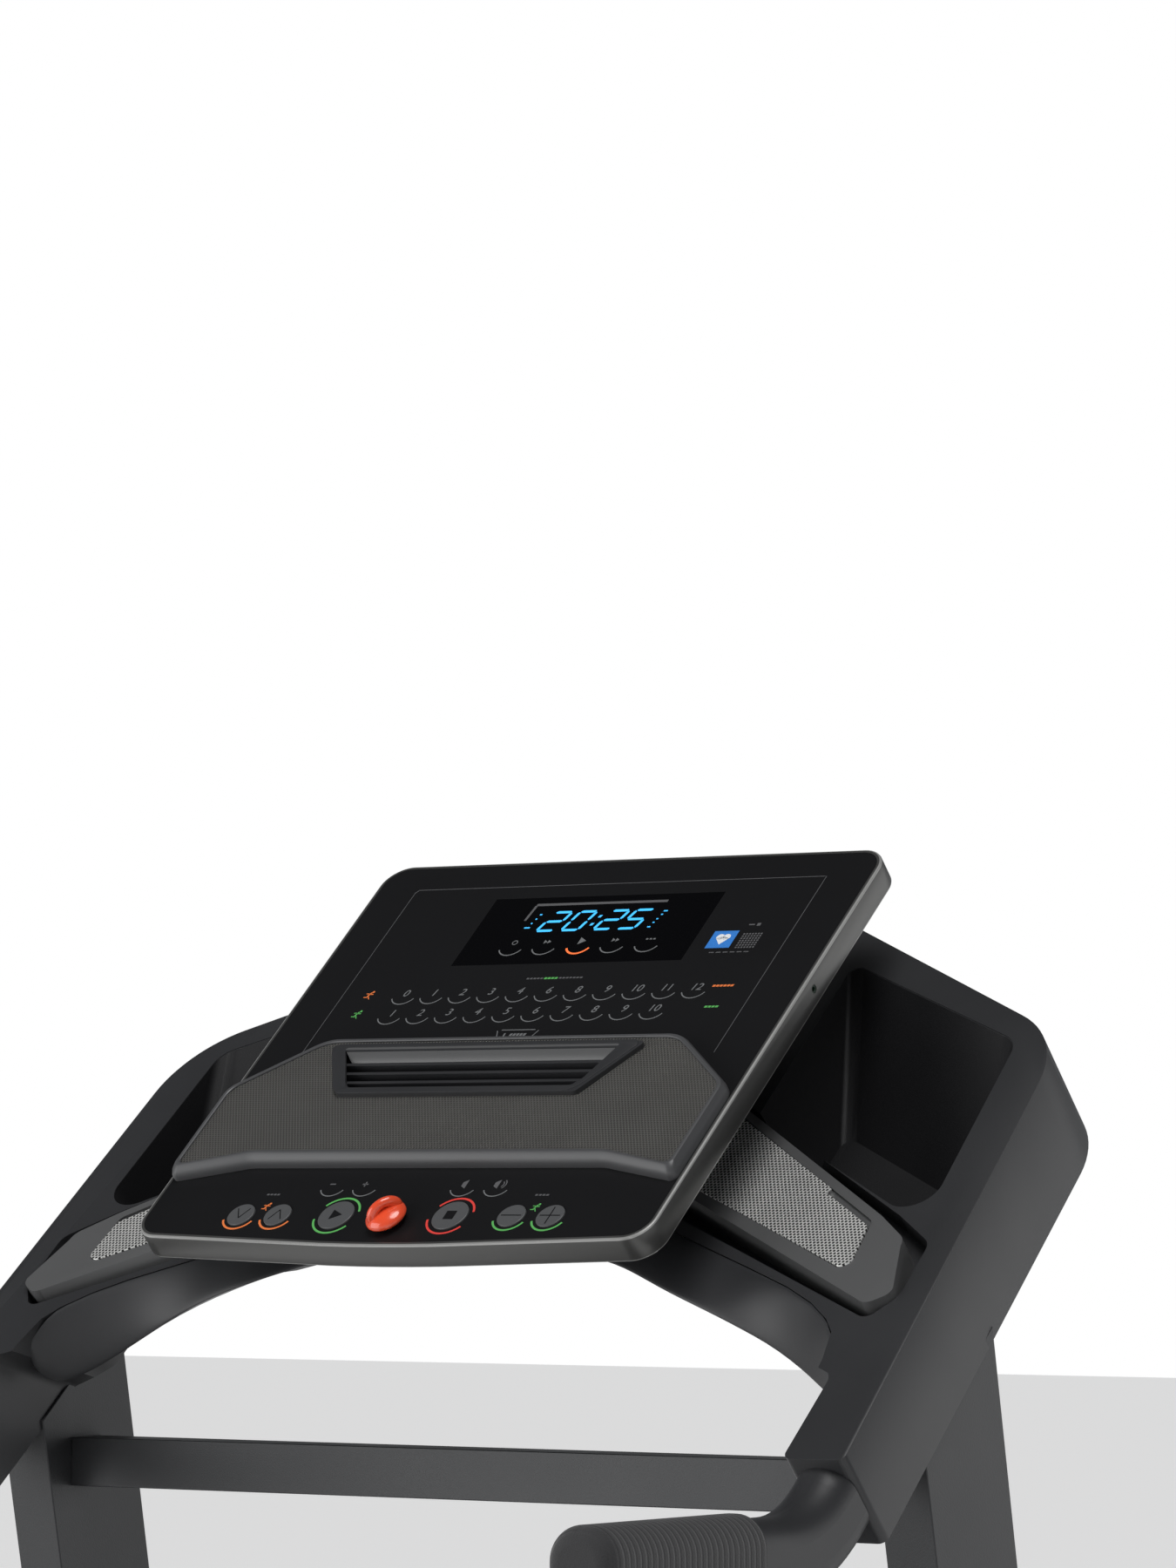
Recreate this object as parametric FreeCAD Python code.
import FreeCAD, Part
import math
import os

# Folding treadmill.  Row frame: +X to the user's right, +Y the way the user faces (the motor end),
# +Z up.  The origin is on the floor, under the middle of the whole machine.  Millimetres.
# Console parts are drawn in panel coordinates (x across, u up the slope, n out of the panel face,
# zero at the middle of the key row) and then placed.

V = FreeCAD.Vector
os.makedirs("parts", exist_ok=True)

# ---------------------------------------------------------------- overall
overall_length = 1870.0
rear_end = -overall_length / 2
front_end = overall_length / 2
running_gap = 0.3          # between pieces that turn or slide past each other
shaft_gap = 0.05           # radial clearance of a shaft in its bearing
plastic_wall = 3.0
tube_wall = 2.0

# ---------------------------------------------------------------- console panel
panel_tilt = 41.8          # slope of the panel from level
key_row_y = 440.0
key_row_z = 1173.0
panel_width = 450.0
panel_top = 394.6
panel_bottom = -21.5
panel_bow = 11.0           # the lower edge swells down by this much
panel_corner = 22.0
panel_depth = 21.0
rim_width = 3.5
overlay_thick = 2.0
ledge_width = 5.0
ledge_thick = 3.0
back_plate = 2.0
board_n = -12.0            # upper face of the circuit boards
board_thick = 1.6

big_key_radius = 14.2
small_key_radius = 11.0
key_travel = 1.0
key_proud = 1.1
key_disc_thick = 4.0
key_gap = 0.4
key_stem_radius = 3.0
key_places = {
    "key_incline_down": (-135.5, small_key_radius),
    "key_incline_up": (-102.5, small_key_radius),
    "key_start": (-50.0, big_key_radius),
    "key_stop": (50.0, big_key_radius),
    "key_speed_down": (102.5, small_key_radius),
    "key_speed_up": (135.5, small_key_radius),
}
safety_u = -4.0
safety_knob_radius = 15.5
safety_knob_height = 13.0
safety_stem_radius = 9.0
safety_stem_depth = 9.0
safety_socket_wall = 2.4

jack_u = 250.0
jack_n = -10.0
jack_radius = 3.0
jack_length = 14.0

window = (-102.5, 274.0, 103.5, 351.0)      # display window: left, lower, right, upper
lcd_margin = 14.0
lcd_thick = 7.0

# ---------------------------------------------------------------- speaker pod on the panel
pod_half = panel_width / 2 - 4.0
pod_low = 35.0
pod_shoulder = 128.0
pod_top = 182.0
pod_top_half = 157.0
pod_belly = 50.0
pod_belly_half = 155.0
pod_height = 11.0
pod_wall = 4.0
pod_rim = 9.0
mesh_thick = 1.2
vent_low = 116.0
vent_low_half = 100.0
vent_top = 170.0
vent_top_half = 134.0
vent_frame = 7.0
vent_depth = 9.0
slat_count = 3
slat_thick = 3.0
speaker_x = pod_half - 61.0
speaker_u = 92.0
speaker_radius = 24.0
speaker_depth = 14.0
fan_u = 143.0
fan_radius = 20.0
fan_depth = 7.0
fan_blades = 7
fan_shaft_radius = 2.0

# ---------------------------------------------------------------- wings, fairing and pulse bar
wing_face = -76.0          # height of the wing's upper face below the panel face
wing_depth = 72.0
wing_inner = 150.0
wing_sweep = 0.551         # fall of the back edge per unit of width
wing_outer_top = 392.0
wing_outer_low = 414.0
wing_corner_u = 272.0
wing_corner_radius = 88.0
wing_tip_u = -150.0
wing_arm_width = 48.0
pocket_inner = 178.0
pocket_outer = 357.0
pocket_back_u = 268.0
pocket_front_u = 77.0
pocket_corner = 22.0
pocket_floor_left = 4.0    # thickness kept under the pocket
pocket_back_lean = 112.0   # the back wall leans in by this much from rim to floor
recess_depth = 16.0
recess_gap = 6.0
bar_proud = 6.0
bar_outer = 376.0
bar_end_high = 56.0
bar_end_low = 2.0
bar_root_high = 205.0
bar_root_low = 108.0
fairing_root_u = 92.0
fairing_tip_x = 352.0
bridge_back_u = 405.0
tub_top_half = 150.0
tub_low_half = 120.0
tub_u_low = 20.0
tub_u_high = 330.0
tub_taper = 35.0

# ---------------------------------------------------------------- uprights and handrails
column_inner = 364.0
column_width = 40.0
column_depth = 88.0
column_foot_y = 690.0      # rear face at the base
column_head_y = 492.0      # rear face at the wing
column_foot_cover_height = 190.0
column_cover_gap = 0.5
column_cover_wall = 9.0
crossbar_z = 990.0
crossbar_size = 36.0
rail_bend = 110.0
rail_run = 185.0
rail_height = 56.0
rail_round = 19.0
grip_length = 150.0
grip_thick = 4.0
rail_cap_length = 22.0
rail_cap_round = 12.0

# ---------------------------------------------------------------- base
base_inner = 362.0
base_width = 48.0
base_low = 12.0
base_high = 52.0
base_rear = 300.0
base_front = front_end - 10.0
cross_depth = 40.0
cross_high = 46.0
mid_cross_y = 650.0
pad_length = 70.0
wheel_radius = 32.0
wheel_width = 20.0
wheel_z = 36.0
wheel_bolt_radius = 6.0
power_box_length = 104.0
power_box_height = 58.0
foot_y = base_rear + 25.0
foot_radius = 18.0
foot_stem_radius = 6.0
foot_stem_height = 34.0

# ---------------------------------------------------------------- incline and fold
lift_y = 360.0
lift_z = 60.0
fold_y = 800.0
fold_z = 130.0
lift_arm_inner = 247.0
lift_arm_width = 34.0
lift_arm_height = 32.0
pin_radius = 8.0
ear_radius = 20.0
ear_thick = 9.0
yoke_tube_radius = 17.0
yoke_arm_x = 130.0
yoke_arm_width = 30.0
shock_low_y = 600.0
shock_low_z = 86.0
shock_high_y = 250.0
shock_high_z = 104.0
shock_x = 180.0
shock_radius = 14.0
shock_rod_radius = 5.0
shock_body_length = 215.0
shock_eye_radius = 11.0
shock_eye_width = 12.0
actuator_y = 620.0
actuator_z = 66.0
horn_y = 356.0
horn_z = 104.0
horn_x = 14.0
horn_thick = 8.0
lift_tube_radius = 13.0
tie_y = 700.0
actuator_radius = 20.0
actuator_screw_radius = 7.0

# ---------------------------------------------------------------- deck
rail_inner = 300.0
rail_width = 45.0
rail_low = 110.0
rail_high = 164.0
rail_rear = rear_end + 30.0
rail_front = front_end - 67.0
roller_radius = 30.0
return_run_z = 125.0       # inner face of the belt's lower run
roller_z = return_run_z + roller_radius
front_roller_y = 560.0
rear_roller_y = rear_end + 63.0
roller_half = 264.0
roller_wall = 3.0
roller_plug = 20.0
axle_radius = 8.0
belt_width = 508.0
belt_thick = 2.5
board_width = 584.0
board_top_gap = 0.3
deck_board_thick = 19.0
deck_board_rear = rear_end + 103.0
deck_board_front = 516.0
member_high = 150.0
member_low = 130.0
member_depth = 40.0
member_places = (-800.0, -400.0, 0.0, 440.0)
cushion_radius = 16.0
cover_inner = 262.0
cover_outer = 352.0
foot_rail_rise = 12.0      # foot rail above the roller tops
cover_top = roller_z + roller_radius + foot_rail_rise
cover_thick = 7.0
cover_skirt = 4.0
rear_leg_depth = 44.0
hood_rear = 500.0
hood_front = front_end - 30.0
hood_top = 300.0

# ---------------------------------------------------------------- drive
motor_y = 720.0
motor_z = 206.0
motor_radius = 48.0
motor_left = -190.0
motor_right = -10.0
motor_plate_low = 146.0
motor_plate_thick = 4.0
flywheel_radius = 54.0
flywheel_left = -236.0
flywheel_width = 22.0
pulley_left = -294.0
pulley_width = 22.0
motor_pulley_radius = 15.0
roller_pulley_radius = 42.0
drive_belt_thick = 2.0

panel_half = panel_width / 2
wing_back = wing_face - wing_depth
slope = math.radians(panel_tilt)


# ---------------------------------------------------------------- drawing helpers
def outline(corners, height):
    """Closed wire through (x, y, radius) corners, each rounded by its own radius."""
    count = len(corners)
    places = [V(x, y, height) for x, y, radius in corners]
    pieces = []
    for index, (x, y, radius) in enumerate(corners):
        here = places[index]
        to_last = (places[index - 1] - here).normalize()
        to_next = (places[(index + 1) % count] - here).normalize()
        half_angle = to_last.getAngle(to_next) / 2
        setback = radius / math.tan(half_angle)
        middle = (to_last + to_next).normalize()
        centre = here + middle * (radius / math.sin(half_angle))
        pieces.append((here + to_last * setback, centre - middle * radius, here + to_next * setback))
    edges = []
    for index, (start, crown, end) in enumerate(pieces):
        if start.distanceToPoint(end) > 0.001:
            edges.append(Part.Arc(start, crown, end).toShape())
        following = pieces[(index + 1) % count][0]
        if end.distanceToPoint(following) > 0.001:
            edges.append(Part.LineSegment(end, following).toShape())
    return Part.Wire(edges)


def prism(corners, low, high):
    """Solid over rounded corners, from one height to another."""
    return Part.Face(outline(corners, low)).extrude(V(0, 0, high - low))


def block(x0, x1, y0, y1, z0, z1):
    """Box between two corners."""
    return Part.makeBox(x1 - x0, y1 - y0, z1 - z0, V(x0, y0, z0))


def rod_x(radius, x0, x1, y, z):
    """Round bar along X."""
    return Part.makeCylinder(radius, x1 - x0, V(x0, y, z), V(1, 0, 0))


def rod_z(radius, x, y, z0, z1):
    """Round bar along Z, which is n in panel coordinates."""
    return Part.makeCylinder(radius, z1 - z0, V(x, y, z0))


def side_prism(corners, x0, x1):
    """Solid over (y, z, radius) corners, from x0 to x1."""
    shape = prism(corners, x0, x1)
    shape.Placement = FreeCAD.Placement(V(), FreeCAD.Rotation(V(0, 1, 0), V(0, 0, 1), V(1, 0, 0), "XYZ"))
    return shape


def front_prism(corners, y0, y1):
    """Solid over (x, z, radius) corners, from y0 to y1."""
    shape = prism(corners, -y1, -y0)
    shape.Placement = FreeCAD.Placement(V(), FreeCAD.Rotation(V(1, 0, 0), V(0, 0, 1), V(0, -1, 0), "XYZ"))
    return shape


def on_console(shape):
    """Carry a shape from panel coordinates to the row frame."""
    placed = shape.copy()
    placed.rotate(V(), V(1, 0, 0), panel_tilt)
    placed.translate(V(0, key_row_y, key_row_z))
    return placed


def mirrored(shape):
    """The same piece for the other side."""
    return shape.mirror(V(), V(1, 0, 0))


def sides(shape):
    """The right-hand piece and its mirror image."""
    return [shape, mirrored(shape)]


def bar_between(y0, z0, y1, z1, height, x0, x1):
    """Flat-sided bar in the Y-Z plane from one point to another, centred on the line between them."""
    length = math.hypot(y1 - y0, z1 - z0)
    across_y = -(z1 - z0) / length * height / 2
    across_z = (y1 - y0) / length * height / 2
    corners = [(y0 + across_y, z0 + across_z, 0), (y1 + across_y, z1 + across_z, 0),
               (y1 - across_y, z1 - across_z, 0), (y0 - across_y, z0 - across_z, 0)]
    return side_prism(corners, x0, x1)


def rod_between(radius, x, y0, z0, y1, z1):
    """Round bar in the Y-Z plane from one point to another."""
    length = math.hypot(y1 - y0, z1 - z0)
    return Part.makeCylinder(radius, length, V(x, y0, z0), V(0, y1 - y0, z1 - z0))


def save(node, solids):
    """Write one node from its solids."""
    shape = solids[0] if len(solids) == 1 else Part.makeCompound(solids)
    shape.exportStep("parts/" + node + ".step")


# ---------------------------------------------------------------- console panel
def panel_corners(inset):
    """Outline of the panel, drawn in by an inset."""
    half = panel_half - inset
    radius = panel_corner - inset
    return [(-half, panel_top - inset, radius), (-half, panel_bottom + inset, radius),
            (0, panel_bottom - panel_bow + inset, 1500.0), (half, panel_bottom + inset, radius),
            (half, panel_top - inset, radius)]


def pod_corners(inset):
    """Outline of the speaker pod, drawn in by an inset."""
    half = pod_half - inset
    return [(-half, pod_low + inset, 6), (-half, pod_shoulder - inset * 0.4, 14),
            (-pod_top_half + inset * 0.4, pod_top - inset, 26),
            (pod_top_half - inset * 0.4, pod_top - inset, 26),
            (half, pod_shoulder - inset * 0.4, 14), (half, pod_low + inset, 6),
            (pod_belly_half, pod_belly + inset, 20), (-pod_belly_half, pod_belly + inset, 20)]


def vent_corners(inset):
    """Outline of the air vent, drawn in by an inset."""
    return [(-vent_low_half + inset, vent_low + inset, 5), (-vent_top_half + inset, vent_top - inset, 3),
            (vent_top_half - inset, vent_top - inset, 3), (vent_low_half - inset, vent_low + inset, 5)]


def key_holes(extra):
    """Drills for the keys through the top of the panel."""
    return [rod_z(radius + extra, x, 0, -overlay_thick - 1, 1) for x, radius in key_places.values()]


def make_panel():
    """Frame, overlay, window, boards, keys and safety key of the console."""
    frame = prism(panel_corners(0), -panel_depth, 0)
    frame = frame.cut(prism(panel_corners(rim_width), -overlay_thick, 1))
    frame = frame.cut(prism(panel_corners(rim_width + ledge_width), -panel_depth - 1, 1))
    frame = frame.cut(prism(panel_corners(rim_width), -panel_depth - 1, -overlay_thick - ledge_thick))
    frame = frame.cut(rod_x(jack_radius + 0.2, panel_half - rim_width - 1, panel_half + 1, jack_u, jack_n))
    save("console_frame", [on_console(frame)])

    overlay = prism(panel_corners(rim_width + running_gap), -overlay_thick, 0)
    x0, u0, x1, u1 = window
    overlay = overlay.cut(block(x0, x1, u0, u1, -overlay_thick - 1, 1))
    overlay = overlay.cut(prism(vent_corners(vent_frame), -overlay_thick - 1, 1))
    for drill in key_holes(key_gap):
        overlay = overlay.cut(drill)
    for side in (-1, 1):
        overlay = overlay.cut(rod_z(speaker_radius + running_gap, side * speaker_x, speaker_u,
                                    -overlay_thick - 1, 1))
    inner = safety_stem_radius + key_gap
    socket_floor = -safety_stem_depth - 1.5
    socket = rod_z(inner + safety_socket_wall, 0, safety_u, socket_floor, 0.4)
    overlay = overlay.fuse(socket).cut(rod_z(inner, 0, safety_u, socket_floor + 1.2, 1))
    save("console_overlay", [on_console(overlay.removeSplitter())])

    glass = block(x0, x1, u0, u1, -overlay_thick, 0)
    save("display_window", [on_console(glass)])
    lcd = block(x0 + lcd_margin, x1 - lcd_margin, u0 + lcd_margin, u1 - lcd_margin,
                -overlay_thick - lcd_thick, -overlay_thick)
    save("display_module", [on_console(lcd)])

    board_floor = board_n - board_thick
    key_board = block(-158, 158, -18, 24, board_floor, board_n)
    main_board = block(-130, 130, u0 - 60, u1 + 8, board_floor, board_n)
    jack = rod_x(jack_radius, panel_half - jack_length, panel_half - 0.5, jack_u, jack_n)
    jack = jack.cut(rod_x(jack_radius - 1.2, panel_half - jack_length + 3, panel_half, jack_u, jack_n))
    tail = block(x1 + 20, panel_half - jack_length, jack_u - 3, jack_u + 3, board_n, board_n + 2)
    save("circuit_boards", [on_console(key_board), on_console(main_board),
                            on_console(jack.fuse(tail).removeSplitter())])

    back = prism(panel_corners(rim_width + running_gap), -panel_depth, -panel_depth + back_plate)
    for x in (-150.0, 25.0, 150.0):
        back = back.fuse(rod_z(3.5, x, 18, -panel_depth, board_floor))
    for x in (-120.0, 120.0):
        for u in (u0 - 50, u1):
            back = back.fuse(rod_z(3.5, x, u, -panel_depth, board_floor))
    fan_back = -panel_depth + back_plate + 3
    back = back.fuse(rod_z(6, 0, fan_u, -panel_depth, fan_back))
    back = back.fuse(rod_z(fan_shaft_radius, 0, fan_u, fan_back, fan_back + fan_depth + 1))
    save("console_back", [on_console(back.fuse(make_tub()).removeSplitter())])

    hub = rod_z(6, 0, fan_u, fan_back + running_gap, fan_back + running_gap + fan_depth)
    blades = hub
    for index in range(fan_blades):
        blade = block(4, fan_radius, -1, 1, fan_back + running_gap, fan_back + running_gap + fan_depth)
        blade.rotate(V(), V(0, 0, 1), index * 360.0 / fan_blades)
        blade.translate(V(0, fan_u, 0))
        blades = blades.fuse(blade)
    blades = blades.cut(rod_z(fan_shaft_radius + shaft_gap, 0, fan_u, -panel_depth, 5))
    save("fan_impeller", [on_console(blades.removeSplitter())])

    disc_floor = key_proud - key_disc_thick
    for node, (x, radius) in key_places.items():
        disc = rod_z(radius, x, 0, disc_floor, key_proud)
        stem = rod_z(key_stem_radius, x, 0, board_n + key_travel + running_gap, disc_floor)
        save(node, [on_console(disc.fuse(stem).removeSplitter())])

    knob = rod_z(safety_knob_radius, 0, safety_u, 0.4 + running_gap, safety_knob_height)
    knob = knob.makeFillet(4.5, [knob.Edges[0]])
    stem = rod_z(safety_stem_radius, 0, safety_u, -safety_stem_depth, 1)
    save("safety_key", [on_console(knob.fuse(stem).removeSplitter())])


def make_pod():
    """Speaker pod with its mesh, air vent and the two loudspeakers."""
    shell = prism(pod_corners(0), 0, pod_height)
    shell = shell.cut(prism(pod_corners(pod_wall), -1, pod_height - pod_wall))
    shell = shell.cut(prism(pod_corners(pod_rim), 0, pod_height + 1))
    save("speaker_pod", [on_console(shell)])
    mesh_top = pod_height - 1.5
    mesh = prism(pod_corners(pod_rim + running_gap), mesh_top - mesh_thick, mesh_top)
    mesh = mesh.cut(prism(vent_corners(-running_gap), 0, pod_height + 1))
    for side in (-1, 1):
        mesh = mesh.fuse(rod_z(4, side * (speaker_x + 35), 60, 0, mesh_top - mesh_thick))
        mesh = mesh.fuse(rod_z(4, side * (speaker_x - 30), 70, 0, mesh_top - mesh_thick))
        mesh = mesh.fuse(rod_z(4, side * speaker_x, 150, 0, mesh_top - mesh_thick))
    save("speaker_mesh", [on_console(mesh.removeSplitter())])

    grille = prism(vent_corners(0), 0, pod_height + 2)
    hollow = prism(vent_corners(vent_frame), -1, pod_height + 3)
    grille = grille.cut(hollow)
    pitch = (vent_top - vent_low - 2 * vent_frame) / (slat_count + 1)
    for index in range(slat_count):
        u = vent_low + vent_frame + pitch * (index + 1)
        slat = block(-vent_top_half, vent_top_half, u - slat_thick / 2, u + slat_thick / 2, 1, vent_depth)
        grille = grille.fuse(slat.common(hollow))
    save("vent_grille", [on_console(grille.removeSplitter())])

    drivers = []
    for side in (-1, 1):
        driver = rod_z(speaker_radius, side * speaker_x, speaker_u, -speaker_depth, 0)
        driver = driver.fuse(rod_z(speaker_radius * 0.5, side * speaker_x, speaker_u,
                                   -panel_depth + back_plate, 0))
        drivers.append(on_console(driver.removeSplitter()))
    save("loudspeakers", drivers)


# ---------------------------------------------------------------- wings and what joins them
def wing_back_edge(x):
    """Height u of the wing's swept back edge at x."""
    return wing_corner_u + (wing_outer_top - x) * wing_sweep


def fairing_line(x):
    """Height u of the joint between the wing and the front fairing at x."""
    fall = (x - wing_inner) / (fairing_tip_x - wing_inner)
    return fairing_root_u - 98.0 * max(0.0, fall)


def bar_corners(grow):
    """Outline of the right half of the pulse bar, grown on its free sides."""
    return [(wing_inner, bar_root_high + grow, 0), (bar_outer - 30, 80 + grow, 14),
            (bar_outer + grow, bar_end_high + grow * 0.5, 14), (bar_outer + grow + 1, bar_end_low + 10, 10),
            (bar_outer - 14 + grow * 0.6, bar_end_low - grow, 10),
            (wing_inner, bar_root_low - grow, 0)]


def make_wings():
    """Moulded tray wings, the bridge between them, the fairing, the pulse bar and the tub."""
    arm_inner_low = wing_outer_low - wing_arm_width
    wing = prism([(wing_inner, wing_back_edge(wing_inner), 0),
                  (wing_outer_top, wing_corner_u, wing_corner_radius),
                  (wing_outer_low, wing_tip_u, 6), (arm_inner_low, wing_tip_u, 6),
                  (arm_inner_low, fairing_line(arm_inner_low) - 8, 14),
                  (fairing_tip_x, fairing_line(fairing_tip_x), 3),
                  (wing_inner, fairing_line(wing_inner), 0)], wing_back, wing_face)
    rim = [(pocket_inner, wing_back_edge(pocket_inner) - 32, 8),
           (pocket_outer, pocket_back_u, pocket_corner),
           (pocket_outer + 10, pocket_front_u, pocket_corner), (pocket_inner, pocket_front_u + 113, 8)]
    low = wing_back + pocket_floor_left
    floor = [(pocket_inner + 18, wing_back_edge(pocket_inner) - 32 - pocket_back_lean, 8),
             (pocket_outer, pocket_back_u - pocket_back_lean, pocket_corner),
             (pocket_outer + 6, pocket_front_u + 4, pocket_corner),
             (pocket_inner + 18, pocket_front_u + 105, 8)]
    pocket = Part.makeLoft([outline(floor, low), outline(rim, wing_face)], True, True)
    mouth = prism(rim, wing_face - 0.5, wing_face + 1)
    wing = wing.cut(pocket).cut(mouth)
    recess_floor = wing_face - recess_depth
    wing = wing.cut(prism(bar_corners(recess_gap), recess_floor, wing_face + 1))
    right = on_console(wing)
    save("wing_right", [right])
    save("wing_left", [mirrored(right)])

    bar = prism(bar_corners(0), recess_floor, wing_face + bar_proud)
    bar_top = wing_face + bar_proud
    plate_corners = [(wing_inner + 6, bar_root_high - 12, 2), (bar_outer - 44, 74, 8),
                     (bar_outer - 40, bar_end_low + 20, 8), (wing_inner + 6, bar_root_low + 6, 2)]
    bar = bar.cut(prism(plate_corners, bar_top - 2, bar_top + 1))
    bar = on_console(bar)
    save("pulse_bar", sides(bar))
    plate = on_console(prism(plate_corners, bar_top - 2, bar_top + 0.5))
    save("pulse_plates", sides(plate))

    bridge = block(-wing_inner, wing_inner, fairing_root_u, bridge_back_u, wing_back, wing_face)
    wall = 4.0
    hollow = block(-wing_inner + wall, wing_inner - wall, fairing_root_u + wall, bridge_back_u - wall,
                   wing_back + wall, wing_face - wall)
    bridge = on_console(bridge.cut(hollow))

    sections = []
    for x, lower_u, lower_n in ((0, 27, -84), (160, 27, -84), (200, 18, -94), (293, 6, -136),
                                (fairing_tip_x, -30, -146)):
        upper_u = fairing_line(x)
        sections.append(Part.makePolygon([V(x, upper_u, wing_face - 1), V(x, lower_u, lower_n),
                                          V(x, lower_u + 2, lower_n - 2), V(x, upper_u, lower_n - 2),
                                          V(x, upper_u, wing_face - 1)]))
    half = on_console(Part.makeLoft(sections, True, True))
    save("console_bridge", [bridge])
    save("front_fairing", [half.fuse(mirrored(half)).removeSplitter()])


def make_tub():
    """Tapered tub that stands the panel on the bridge."""
    top = [(-tub_top_half, tub_u_low, 20), (tub_top_half, tub_u_low, 20),
           (tub_top_half, tub_u_high, 20), (-tub_top_half, tub_u_high, 20)]
    low_u = max(tub_u_low + tub_taper, fairing_root_u + 4)
    foot = [(-tub_low_half, low_u, 14), (tub_low_half, low_u, 14),
            (tub_low_half, tub_u_high - tub_taper, 14), (-tub_low_half, tub_u_high - tub_taper, 14)]
    tub = Part.makeLoft([outline(foot, wing_face), outline(top, -panel_depth)], True, True)
    shrink = plastic_wall
    top_in = [(math.copysign(abs(x) - shrink, x), u + (shrink if u == tub_u_low else -shrink), r - shrink)
              for x, u, r in top]
    foot_in = [(math.copysign(abs(x) - shrink, x), u + (shrink if u == low_u else -shrink), r - shrink)
               for x, u, r in foot]
    return tub.cut(Part.makeLoft([outline(foot_in, wing_face), outline(top_in, -panel_depth)], True, True))


# ---------------------------------------------------------------- uprights and handrails
def wing_underside_z(y):
    """Height of the wing's underside above a point y."""
    n = wing_back
    u = (y - key_row_y + n * math.sin(slope)) / math.cos(slope)
    return key_row_z + u * math.sin(slope) + n * math.cos(slope)


def column_rear(z):
    """Place y of the upright's rear face at height z."""
    head_z = wing_underside_z(column_head_y)
    share = (z - base_high) / (head_z - base_high)
    return column_foot_y + (column_head_y - column_foot_y) * share


def make_uprights():
    """Leaning rectangular steel uprights, their foot covers and the crossbar."""
    outer_x = column_inner + column_width
    head_rear = column_head_y
    head_front = column_head_y + column_depth

    def column(inset, x0, x1, z0, z1_extra):
        return side_prism([(column_foot_y + inset, z0, 0),
                           (head_rear + inset, wing_underside_z(head_rear + inset) + z1_extra, 0),
                           (head_front - inset, wing_underside_z(head_front - inset) + z1_extra, 0),
                           (column_foot_y + column_depth - inset, z0, 0)], x0, x1)

    tube = column(0, column_inner, outer_x, base_high, 0)
    tube = tube.cut(column(tube_wall, column_inner + tube_wall, outer_x - tube_wall, base_high, 0))

    cover_top_z = base_high + column_foot_cover_height
    reach = column_cover_wall
    skirt_x1 = outer_x + reach
    foot = side_prism([(column_foot_y - reach * 3, base_high, 10),
                       (column_rear(cover_top_z) - reach, cover_top_z, 8),
                       (column_rear(cover_top_z) + column_depth + reach, cover_top_z, 8),
                       (column_foot_y + column_depth + reach * 3, base_high, 10)], column_inner + 2,
                       skirt_x1)
    gap = column_cover_gap
    core = column(-gap, column_inner - 5, outer_x + gap, base_high - 1, 0)
    save("upright_covers", sides(foot.cut(core)))

    half_bar = crossbar_size / 2
    bar_y = column_rear(crossbar_z) + column_depth / 2
    bar = block(-column_inner, column_inner, bar_y - half_bar, bar_y + half_bar, crossbar_z - half_bar,
                crossbar_z + half_bar)
    bar = bar.cut(block(-column_inner, column_inner, bar_y - half_bar + tube_wall,
                        bar_y + half_bar - tube_wall,
                        crossbar_z - half_bar + tube_wall, crossbar_z + half_bar - tube_wall))
    save("uprights", sides(tube) + [bar])


def make_handrails():
    """Bent handrails that carry the wing's line down and level out towards the user, with grips."""
    mid_x = wing_outer_low - wing_arm_width / 2 + 0.5
    mid_n = (wing_face + wing_back) / 2
    start = on_console(Part.Vertex(mid_x, wing_tip_u, mid_n)).Point
    down = V(0, -math.cos(slope), -math.sin(slope))
    normal = V(0, -math.sin(slope), math.cos(slope))
    first = start + down * 12
    centre = first + normal * rail_bend
    bend_end = centre + V(0, 0, -rail_bend)
    half_turn = slope / 2
    bend_mid = centre + V(0, math.sin(half_turn), -math.cos(half_turn)) * rail_bend
    tip = bend_end + V(0, -rail_run, 0)
    path = Part.Wire([Part.LineSegment(start, first).toShape(),
                      Part.Arc(first, bend_mid, bend_end).toShape(),
                      Part.LineSegment(bend_end, tip).toShape()])
    half_w = wing_arm_width / 2 - 2
    half_h = rail_height / 2

    def section(grow, round_radius):
        w = half_w + grow
        h = half_h + grow
        return [(-w, -h, round_radius), (w, -h, round_radius), (w, h, round_radius), (-w, h, round_radius)]

    profile = outline(section(0, rail_round), 0)
    profile.Placement = FreeCAD.Placement(start, FreeCAD.Rotation(V(1, 0, 0), normal, V(), "XYZ"))
    rail = Part.Wire(path).makePipeShell([profile], True, False)
    save("handrails", sides(rail))

    def level(grow, round_radius, y0, y1):
        piece = prism(section(grow, round_radius), 0, y1 - y0)
        piece.Placement = FreeCAD.Placement(V(mid_x, y1, tip.z),
                                            FreeCAD.Rotation(V(1, 0, 0), V(0, 0, 1), V(), "XYZ"))
        return piece

    sleeve = level(grip_thick, rail_round + grip_thick, tip.y, tip.y + grip_length)
    sleeve = sleeve.cut(level(0, rail_round, tip.y - 1, tip.y + grip_length + 1))
    cap = level(grip_thick, rail_round + grip_thick, tip.y - rail_cap_length, tip.y)
    front_face = min(cap.Faces, key=lambda face: face.CenterOfMass.y)
    cap = cap.makeFillet(rail_cap_round, front_face.Edges)
    save("hand_grips", sides(sleeve.fuse(cap).removeSplitter()))


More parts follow.
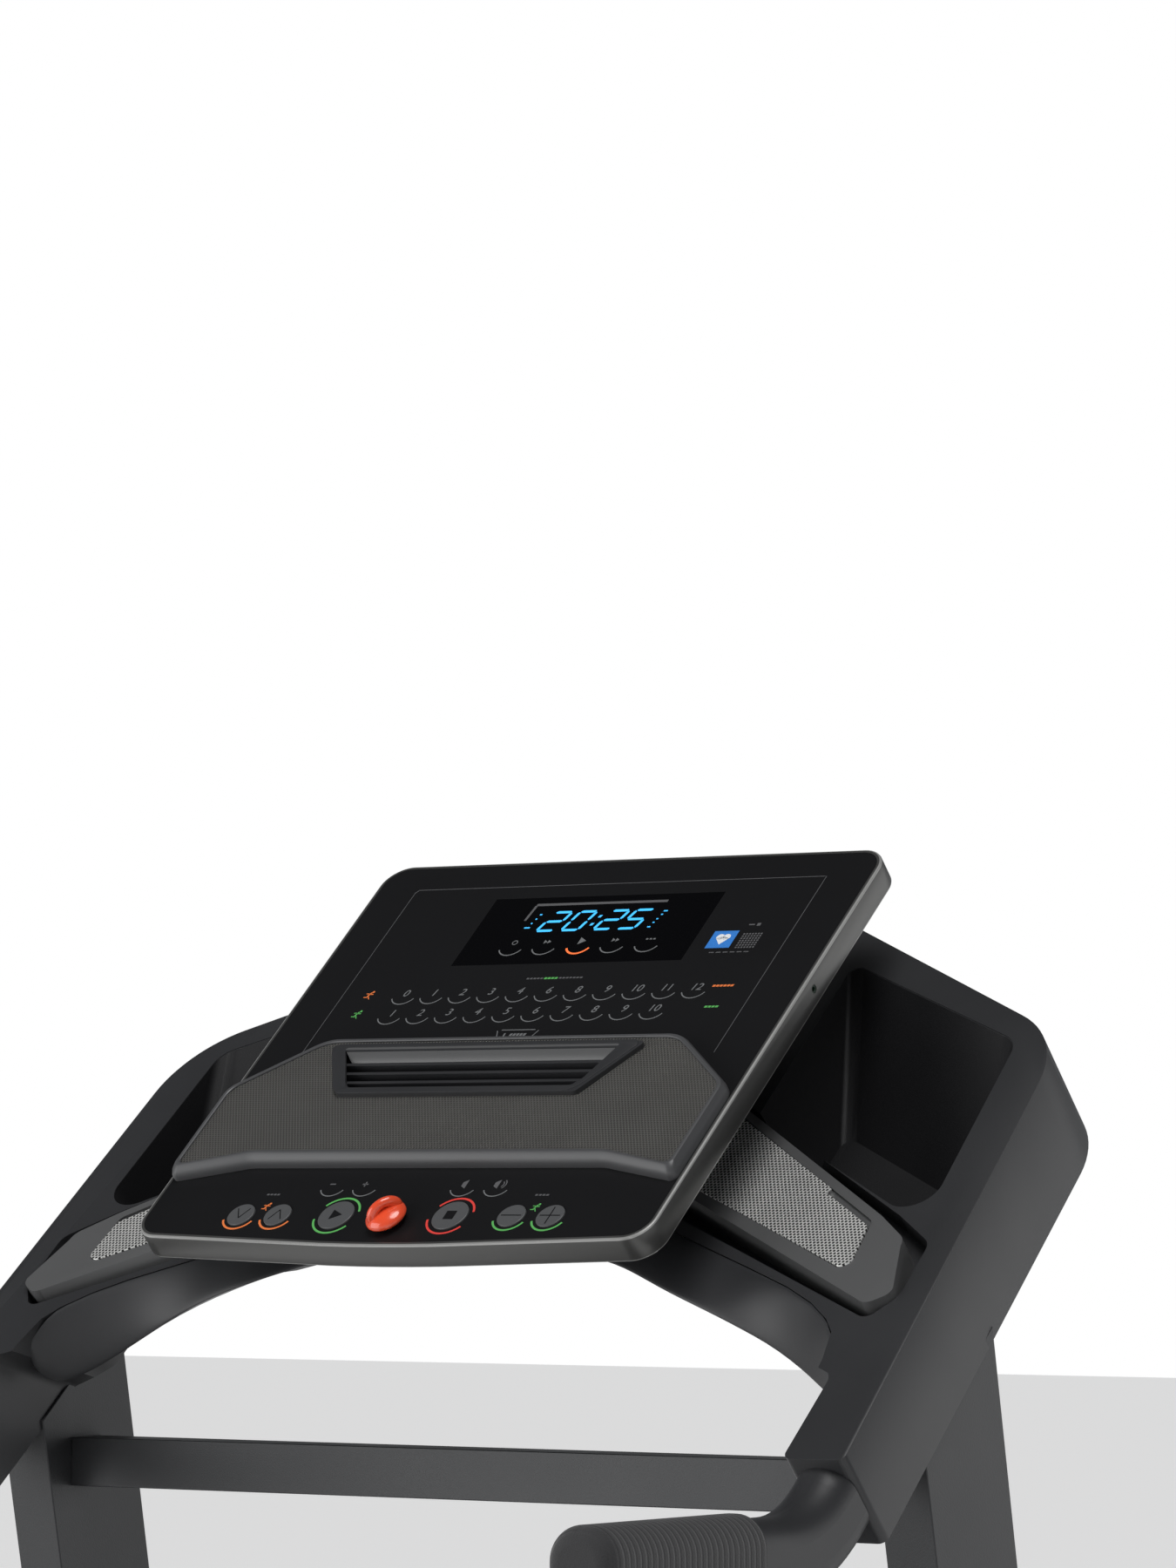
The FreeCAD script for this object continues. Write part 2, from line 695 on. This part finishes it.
# ---------------------------------------------------------------- base
def make_base():
    """Floor frame, pads, levelling feet, transport wheels, mains inlet and switch."""
    base_outer = base_inner + base_width
    rail = block(base_inner, base_outer, base_rear, base_front, base_low, base_high)
    rail = rail.cut(block(base_inner + tube_wall, base_outer - tube_wall, base_rear, base_front,
                          base_low + tube_wall, base_high - tube_wall))
    rail = rail.fuse(rod_z(foot_stem_radius + 5, base_inner + base_width / 2, foot_y, base_low,
                           base_low + 12))
    rail = rail.cut(rod_z(foot_stem_radius + shaft_gap, base_inner + base_width / 2, foot_y,
                          base_low - 1, base_high - 6))
    frame = rail.fuse(mirrored(rail))
    for y in (base_rear + 4, mid_cross_y, base_front - cross_depth):
        cross = block(-base_inner, base_inner, y, y + cross_depth, base_low, cross_high)
        cross = cross.cut(block(-base_inner, base_inner, y + tube_wall, y + cross_depth - tube_wall,
                                base_low + tube_wall, cross_high - tube_wall))
        frame = frame.fuse(cross)
    cross_front = base_rear + 4 + cross_depth
    ear_x = lift_arm_inner + lift_arm_width + running_gap
    ear = side_prism([(cross_front - 12, cross_high - 20, 0), (lift_y + ear_radius, cross_high - 20, 2),
                      (lift_y + ear_radius, lift_z + ear_radius, 12),
                      (lift_y - ear_radius, lift_z + ear_radius, 12),
                      (cross_front - 12, cross_high, 0)], ear_x, ear_x + ear_thick)
    ear = ear.cut(rod_x(pin_radius + shaft_gap, 0, 400, lift_y, lift_z))
    pillow_x = 22.0
    cradle = side_prism([(actuator_y - 14, actuator_z + 12, 4), (actuator_y + 14, actuator_z + 12, 4),
                         (mid_cross_y + 6, cross_high - 4, 0), (mid_cross_y, base_low + 6, 0),
                         (actuator_y + 4, cross_high - 10, 0)], pillow_x, pillow_x + 7)
    cradle = cradle.cut(rod_x(5 + shaft_gap, 0, 100, actuator_y, actuator_z))
    for piece in (ear, cradle):
        frame = frame.fuse(piece).fuse(mirrored(piece))
    wheel_y = front_end - wheel_radius
    for piece in sides(rod_x(10, base_inner + base_width - 6, base_inner + base_width + 2, wheel_y,
                             wheel_z)):
        frame = frame.fuse(piece)
    save("base_frame", [frame.removeSplitter()])

    pads = []
    for y in (base_rear + 60, base_front - pad_length - 40):
        pads += sides(block(base_inner + 4, base_inner + base_width - 4, y, y + pad_length, 0, base_low))
    save("floor_pads", pads)

    column_x = base_inner + base_width / 2
    foot = rod_z(foot_radius, column_x, foot_y, 0,
                 6).fuse(rod_z(foot_stem_radius, column_x, foot_y, 6, foot_stem_height))
    foot = foot.removeSplitter()
    save("levelling_foot_right", [foot])
    save("levelling_foot_left", [mirrored(foot)])

    wheel_x = base_inner + base_width + 2 + running_gap
    wheel = rod_x(wheel_radius, wheel_x, wheel_x + wheel_width, wheel_y, wheel_z)
    wheel = wheel.makeFillet(4, [edge for edge in wheel.Edges if edge.Curve.TypeId == "Part::GeomCircle"])
    wheel = wheel.cut(rod_x(wheel_bolt_radius + shaft_gap, wheel_x - 1, wheel_x + wheel_width + 1,
                            wheel_y, wheel_z))
    save("transport_wheel_right", [wheel])
    save("transport_wheel_left", [mirrored(wheel)])
    bolt = rod_x(wheel_bolt_radius, wheel_x - running_gap, wheel_x + wheel_width + running_gap, wheel_y,
                 wheel_z)
    head = rod_x(wheel_bolt_radius + 5, wheel_x + wheel_width + running_gap, wheel_x + wheel_width + 4,
                 wheel_y, wheel_z)
    pin_end = ear_x + ear_thick
    pin = rod_x(pin_radius, lift_arm_inner + 10, pin_end, lift_y, lift_z)
    pin_head = rod_x(pin_radius + 5, pin_end, pin_end + 5, lift_y, lift_z)
    save("base_bolts", sides(bolt.fuse(head).removeSplitter()) + sides(pin.fuse(pin_head).removeSplitter()))


def make_power_entry():
    """Mains box on the left floor rail, with its inlet and rocker switch facing outwards."""
    face = -(base_inner + base_width - 2)
    back = -(base_inner + 4)
    rear = front_end - 123.0
    low = base_high
    box = block(face, back, rear, rear + power_box_length, low, low + power_box_height)
    inlet_low = low + 25
    inlet = block(face - 1, face + 22, rear + 8, rear + 42, inlet_low, inlet_low + 26)
    switch_hole = block(face - 1, face + 16, rear + 58, rear + 94, inlet_low + 1, inlet_low + 25)
    box = box.cut(inlet).cut(switch_hole)
    pivot_z = inlet_low + 13
    pivot_x = face + 7
    for y0, y1 in ((rear + 57, rear + 61), (rear + 91, rear + 95)):
        box = box.fuse(Part.makeCylinder(1.5, y1 - y0, V(pivot_x, y0, pivot_z), V(0, 1, 0)))
    socket = block(face, face + 22, rear + 8, rear + 42, inlet_low, inlet_low + 26)
    socket = socket.cut(block(face - 1, face + 18, rear + 12, rear + 38, inlet_low + 4, inlet_low + 22))
    for index in range(3):
        blade_y = rear + 18 + index * 7
        socket = socket.fuse(block(face + 5, face + 19, blade_y - 1, blade_y + 1, inlet_low + 10,
                                   inlet_low + 16))
    save("power_inlet", [box.removeSplitter(), socket.removeSplitter()])
    half = 10.0
    rocker = front_prism([(face + 11, pivot_z - half, 1), (face + 11, pivot_z + half, 1),
                          (face - 2.5, pivot_z + half, 1), (face + 1, pivot_z, 6),
                          (face - 0.5, pivot_z - half, 1)],
                         rear + 61.5, rear + 90.5)
    save("power_switch", [rocker])


# ---------------------------------------------------------------- incline and fold
def make_lift():
    """Lift frame, incline actuator, fold yoke, gas spring and foot latch."""
    inner = lift_arm_inner
    outer = inner + lift_arm_width
    arm = bar_between(lift_y, lift_z, fold_y, fold_z, lift_arm_height, inner, outer)
    arm = arm.fuse(rod_x(ear_radius, inner, outer, lift_y, lift_z)).fuse(rod_x(ear_radius, inner, outer,
                                                                               fold_y, fold_z))
    slope_rise = (fold_z - lift_z) / (fold_y - lift_y)
    arm_low = lift_z + (tie_y - lift_y) * slope_rise - lift_arm_height / 2
    tie = block(-outer, outer, tie_y - 12, tie_y + 12, arm_low - 19, arm_low - 6)
    for tab in sides(block(inner, outer, tie_y - 12, tie_y + 12, arm_low - 8, arm_low + 4)):
        tie = tie.fuse(tab)
    shaft = rod_x(lift_tube_radius, -inner, inner, lift_y, lift_z)
    bore = rod_x(pin_radius + shaft_gap, -400, 400, fold_y, fold_z)
    bore = bore.fuse(rod_x(pin_radius + shaft_gap, inner + 8, 400, lift_y, lift_z))
    bore = bore.fuse(rod_x(pin_radius + shaft_gap, -400, -inner - 8, lift_y, lift_z))
    horn = bar_between(lift_y, lift_z, horn_y, horn_z, 22, horn_x, horn_x + horn_thick)
    horn = horn.fuse(rod_x(12, horn_x, horn_x + horn_thick, horn_y, horn_z))
    frame = arm.fuse(mirrored(arm)).fuse(tie).fuse(shaft).fuse(horn).cut(bore)
    save("lift_frame", [frame.removeSplitter()])

    length = math.hypot(horn_y - actuator_y, horn_z - actuator_z)
    ux = (horn_y - actuator_y) / length
    uz = (horn_z - actuator_z) / length
    barrel_end = 165.0
    body = rod_between(actuator_radius - 3, 0, actuator_y, actuator_z, actuator_y + ux * barrel_end,
                       actuator_z + uz * barrel_end)
    bulge = rod_between(actuator_radius, 0, actuator_y + ux * 14, actuator_z + uz * 14,
                        actuator_y + ux * 84,
                        actuator_z + uz * 84)
    screw_bore = rod_between(actuator_screw_radius + shaft_gap, 0, actuator_y + ux * 40,
                             actuator_z + uz * 40,
                             actuator_y + ux * (barrel_end + 5), actuator_z + uz * (barrel_end + 5))
    trunnion = rod_x(5, -29, 29, actuator_y, actuator_z)
    body = body.fuse(bulge).fuse(trunnion).cut(screw_bore)
    save("incline_motor", [body.removeSplitter()])
    screw = rod_between(actuator_screw_radius, 0, actuator_y + ux * 60, actuator_z + uz * 60, horn_y,
                        horn_z)
    eye = rod_x(11, -horn_x + running_gap, horn_x - running_gap, horn_y, horn_z)
    save("incline_screw", [screw.fuse(eye).removeSplitter()])

    yoke = rod_x(yoke_tube_radius, -inner + running_gap, inner - running_gap, fold_y, fold_z)
    yoke = yoke.cut(rod_x(yoke_tube_radius - 3, -inner + 30, inner - 30, fold_y, fold_z))
    arm_x1 = yoke_arm_x + yoke_arm_width
    spar = bar_between(fold_y, fold_z, shock_low_y - 10, shock_low_z, 24, yoke_arm_x, arm_x1)
    lug_x0 = shock_x - shock_eye_width / 2
    lug = rod_x(6, arm_x1, shock_x + shock_eye_width / 2 + 4, shock_low_y, shock_low_z)
    yoke = yoke.fuse(spar).cut(rod_x(yoke_tube_radius - 3, -inner + 30, inner - 30, fold_y,
                                     fold_z)).fuse(lug)
    yoke = yoke.fuse(rod_x(5, yoke_arm_x - 20, yoke_arm_x, shock_low_y - 2, shock_low_z))
    yoke = yoke.cut(rod_x(pin_radius + shaft_gap, -400, 400, fold_y, fold_z))
    save("fold_yoke", [yoke.removeSplitter()])

    length = math.hypot(shock_high_y - shock_low_y, shock_high_z - shock_low_z)
    ux = (shock_high_y - shock_low_y) / length
    uz = (shock_high_z - shock_low_z) / length
    eye = rod_x(shock_eye_radius, lug_x0, lug_x0 + shock_eye_width, shock_low_y, shock_low_z)
    tube = rod_between(shock_radius, shock_x, shock_low_y + ux * 12, shock_low_z + uz * 12,
                       shock_low_y + ux * shock_body_length, shock_low_z + uz * shock_body_length)
    tube = tube.cut(rod_between(shock_rod_radius + shaft_gap, shock_x, shock_low_y + ux * 24,
                                shock_low_z + uz * 24,
                                shock_low_y + ux * (shock_body_length + 5),
                                shock_low_z + uz * (shock_body_length + 5)))
    cylinder = eye.fuse(tube).cut(rod_x(6 + shaft_gap, 0, 300, shock_low_y, shock_low_z))
    save("gas_spring_cylinder", [cylinder.removeSplitter()])
    rod = rod_between(shock_rod_radius, shock_x, shock_low_y + ux * 28, shock_low_z + uz * 28,
                      shock_high_y, shock_high_z)
    rod = rod.fuse(rod_x(9, lug_x0, lug_x0 + shock_eye_width, shock_high_y, shock_high_z))
    save("gas_spring_rod", [rod.removeSplitter()])

    lever_y = shock_low_y - 2
    pedal = side_prism([(lever_y + 12, shock_low_z + 12, 5), (lever_y + 12, shock_low_z - 12, 5),
                        (lever_y - 120, shock_low_z - 26, 3), (lever_y - 122, shock_low_z - 18, 3)],
                       yoke_arm_x - 16 - running_gap, yoke_arm_x - running_gap)
    pedal = pedal.cut(rod_x(5 + shaft_gap, 0, 300, lever_y, shock_low_z))
    save("fold_latch_pedal", [pedal])


# ---------------------------------------------------------------- deck
def make_deck():
    """Deck frame, board, cushions, belt, rollers, foot rails, caps and hood."""
    outer = rail_inner + rail_width
    rail = block(rail_inner, outer, rail_rear, rail_front, rail_low, rail_high)
    rail = rail.cut(block(rail_inner + tube_wall, outer - tube_wall, rail_rear - 1, rail_front + 1,
                          rail_low + tube_wall, rail_high - tube_wall))
    ear = rod_x(ear_radius, rail_inner - 8, outer, fold_y, fold_z)
    rail = rail.fuse(ear)
    frame = rail.fuse(mirrored(rail))
    for y in member_places:
        cross = block(-rail_inner, rail_inner, y, y + member_depth, member_low, member_high)
        cross = cross.cut(block(-rail_inner, rail_inner, y + tube_wall, y + member_depth - tube_wall,
                                member_low + tube_wall, member_high - tube_wall))
        frame = frame.fuse(cross)
    frame = frame.fuse(block(-rail_inner, rail_inner, rail_front - 18, rail_front, rail_low + 2,
                             member_high))
    plate = block(-rail_inner, rail_inner, motor_y - 60, motor_y + 50, motor_plate_low,
                  motor_plate_low + motor_plate_thick)
    frame = frame.fuse(plate)
    leg = block(rail_inner + 4, outer - 4, rear_roller_y + 10, rear_roller_y + 10 + rear_leg_depth, 6,
                rail_low)
    lug_x = shock_x + shock_eye_width / 2 + running_gap
    hanger_y = shock_high_y + 16
    lug = block(lug_x, lug_x + 8, shock_high_y - 12, hanger_y + 28, shock_high_z - 10, shock_high_z + 10)
    beam = block(-rail_inner, rail_inner, hanger_y, hanger_y + 28, shock_high_z + 10, shock_high_z + 14)
    frame = frame.fuse(beam).fuse(lug)
    clip = block(rail_inner + 2, cover_outer - plastic_wall, 640, 660, rail_high, rail_high + 12)
    for piece in sides(leg) + sides(clip):
        frame = frame.fuse(piece)
    holes = rod_x(pin_radius + shaft_gap, -400, 400, fold_y, fold_z)
    for y in (front_roller_y, rear_roller_y):
        holes = holes.fuse(rod_x(axle_radius + shaft_gap, -400, 400, y, roller_z))
    save("deck_frame", [frame.cut(holes).removeSplitter()])
    feet = block(rail_inner + 2, outer - 2, rear_roller_y + 8, rear_roller_y + 12 + rear_leg_depth, 0, 6)
    save("rear_feet", sides(feet))

    belt_floor = roller_z + roller_radius
    board_high = belt_floor - board_top_gap
    board = block(-board_width / 2, board_width / 2, deck_board_rear, deck_board_front,
                  board_high - deck_board_thick, board_high)
    save("deck_board", [board])
    cushions = []
    for y in member_places:
        for x in (-230.0, 230.0):
            cushions.append(rod_z(cushion_radius, x, y + member_depth / 2, member_high,
                                  board_high - deck_board_thick))
    save("deck_cushions", cushions)

    def loop(radius, y0, y1, x0, x1):
        straight = block(x0, x1, y0, y1, roller_z - radius, roller_z + radius)
        return straight.fuse(rod_x(radius, x0, x1, y0, roller_z)).fuse(rod_x(radius, x0, x1, y1, roller_z))

    half_belt = belt_width / 2
    outside = loop(roller_radius + belt_thick, rear_roller_y, front_roller_y, -half_belt, half_belt)
    inside = loop(roller_radius + running_gap * 0.5, rear_roller_y, front_roller_y, -half_belt - 1,
                  half_belt + 1)
    save("running_belt", [outside.removeSplitter().cut(inside.removeSplitter())])

    pulley_right = pulley_left + pulley_width
    roller = rod_x(roller_radius, -roller_half, roller_half, front_roller_y, roller_z)
    pulley = rod_x(roller_pulley_radius, pulley_left, pulley_right, front_roller_y, roller_z)
    neck = rod_x(16, pulley_right, -roller_half, front_roller_y, roller_z)
    bore = rod_x(axle_radius + shaft_gap, -400, 400, front_roller_y, roller_z)
    hollow = rod_x(roller_radius - roller_wall, roller_plug - roller_half, roller_half - roller_plug,
                   front_roller_y, roller_z)
    save("front_roller", [roller.fuse(pulley).fuse(neck).cut(hollow).cut(bore).removeSplitter()])
    rear = rod_x(roller_radius, -roller_half, roller_half, rear_roller_y, roller_z)
    rear = rear.cut(rod_x(roller_radius - roller_wall, roller_plug - roller_half, roller_half - roller_plug,
                          rear_roller_y, roller_z))
    rear = rear.cut(rod_x(axle_radius + shaft_gap, -400, 400, rear_roller_y, roller_z))
    save("rear_roller", [rear])
    axles = [rod_x(axle_radius, -outer, outer, y, roller_z) for y in (front_roller_y, rear_roller_y)]
    save("roller_axles", axles)
    adjusters = rod_between(5, rail_inner + rail_width / 2, rail_rear - 4, roller_z - 24,
                            rear_roller_y + 10, roller_z - 24)
    fold_pin = rod_x(pin_radius, lift_arm_inner - 28, outer, fold_y, fold_z)
    save("deck_bolts", sides(adjusters) + sides(fold_pin))

    cover = block(cover_inner, cover_outer, rail_rear + 30, hood_rear - 1, cover_top - cover_thick,
                  cover_top)
    skirt = block(cover_outer - cover_skirt, cover_outer, rail_rear + 30, hood_rear - 1, rail_low + 2,
                  cover_top)
    cover = cover.fuse(skirt).removeSplitter()
    for place in (-700.0, -300.0, 100.0, 450.0):
        cover = cover.fuse(block(rail_inner + 4, outer - 4, place, place + 20, rail_high,
                                 cover_top - cover_thick))
    save("foot_rails", sides(cover.removeSplitter()))

    cap = block(cover_inner, cover_outer, rear_end, rail_rear + 30, rail_low - 6, cover_top + 1)
    cap = cap.makeFillet(14, [edge for edge in cap.Edges
                              if abs(edge.BoundBox.YMax - rear_end) < 0.01 and edge.BoundBox.YLength < 0.01])
    cap = cap.cut(block(rail_inner - running_gap, outer + running_gap, rail_rear - running_gap,
                        rail_rear + 40,
                        rail_low - running_gap, rail_high + running_gap))
    cap = cap.cut(rod_x(roller_radius + 4, cover_inner - 1, rail_inner, rear_roller_y, roller_z))
    cap = cap.cut(rod_x(axle_radius + 1, cover_inner - 1, outer + 2, rear_roller_y, roller_z))
    cap = cap.cut(rod_between(6, rail_inner + rail_width / 2, rail_rear - 6, roller_z - 24,
                              rail_rear + 40, roller_z - 24))
    save("rear_caps", sides(cap))

    profile = [(hood_rear, rail_low, 0), (hood_rear, cover_top + 3, 6),
               (hood_rear + 120, hood_top - 22, 60),
               (hood_rear + 210, hood_top, 80), (hood_front - 70, hood_top - 6, 50), (hood_front, 210, 40),
               (hood_front, rail_low, 0)]
    wall = plastic_wall
    inner_profile = [(hood_rear - 1, rail_low - 1, 0), (hood_rear - 1, cover_top + 3 - wall, 0),
                     (hood_rear + 120, hood_top - 22 - wall, 58),
                     (hood_rear + 210, hood_top - wall, 78),
                     (hood_front - 70 - wall, hood_top - 6 - wall, 47),
                     (hood_front - wall, 210 - wall, 37), (hood_front - wall, rail_low - 1, 0)]
    hood = side_prism(profile, -cover_outer, cover_outer)
    hood = hood.cut(side_prism(inner_profile, -cover_outer + wall, cover_outer - wall))
    save("motor_hood", [hood])


# ---------------------------------------------------------------- drive
def make_drive():
    """Motor, flywheel with rotor shaft and pulley, drive belt and motor controller."""
    can = rod_x(motor_radius, motor_left, motor_right, motor_y, motor_z)
    can = can.cut(rod_x(motor_radius - 8, motor_left + 6, motor_right - 6, motor_y, motor_z))
    can = can.cut(rod_x(9 + shaft_gap, motor_left - 1, motor_right + 1, motor_y, motor_z))
    plate_top = motor_plate_low + motor_plate_thick
    for x in (motor_left + 20, motor_right - 50):
        saddle = block(x, x + 30, motor_y - 42, motor_y + 42, plate_top, motor_z - 20)
        saddle = saddle.cut(rod_x(motor_radius, x - 1, x + 31, motor_y, motor_z))
        can = can.fuse(saddle)
    save("drive_motor", [can.removeSplitter()])

    pulley_right = pulley_left + pulley_width
    rotor = rod_x(9, pulley_left, motor_right + 12, motor_y, motor_z)
    rotor = rotor.fuse(rod_x(motor_radius - 12, motor_left + 30, motor_right - 30, motor_y, motor_z))
    rotor = rotor.fuse(rod_x(flywheel_radius, flywheel_left, flywheel_left + flywheel_width, motor_y,
                             motor_z))
    rotor = rotor.fuse(rod_x(motor_pulley_radius, pulley_left, pulley_right, motor_y, motor_z))
    save("motor_rotor", [rotor.removeSplitter()])

    def wrap(small, large, x0, x1):
        gap = math.hypot(motor_y - front_roller_y, motor_z - roller_z)
        axis = math.atan2(motor_z - roller_z, motor_y - front_roller_y)
        lean = math.acos((large - small) / gap)
        points = []
        for turn in (lean, -lean):
            angle = axis + turn
            points.append((front_roller_y + large * math.cos(angle), roller_z + large * math.sin(angle), 0))
        for turn in (-lean, lean):
            angle = axis + turn
            points.append((motor_y + small * math.cos(angle), motor_z + small * math.sin(angle), 0))
        body = side_prism(points, x0, x1)
        body = body.fuse(rod_x(large, x0, x1, front_roller_y, roller_z))
        return body.fuse(rod_x(small, x0, x1, motor_y, motor_z)).removeSplitter()

    thick = drive_belt_thick
    gap = running_gap * 0.5
    x0 = pulley_left + 2
    x1 = pulley_right - 2
    belt = wrap(motor_pulley_radius + thick, roller_pulley_radius + thick, x0, x1)
    belt = belt.cut(wrap(motor_pulley_radius + gap, roller_pulley_radius + gap, x0 - 1, x1 + 1))
    save("drive_belt", [belt])

    plate_top = motor_plate_low + motor_plate_thick
    box = block(40, 200, motor_y - 50, motor_y + 40, plate_top, plate_top + 46)
    for index in range(9):
        x = 52 + index * 17
        box = box.cut(block(x, x + 8, motor_y - 51, motor_y + 41, plate_top + 22, plate_top + 47))
    save("motor_controller", [box])


make_panel()
make_pod()
make_wings()
make_uprights()
make_handrails()
make_base()
make_power_entry()
make_lift()
make_deck()
make_drive()
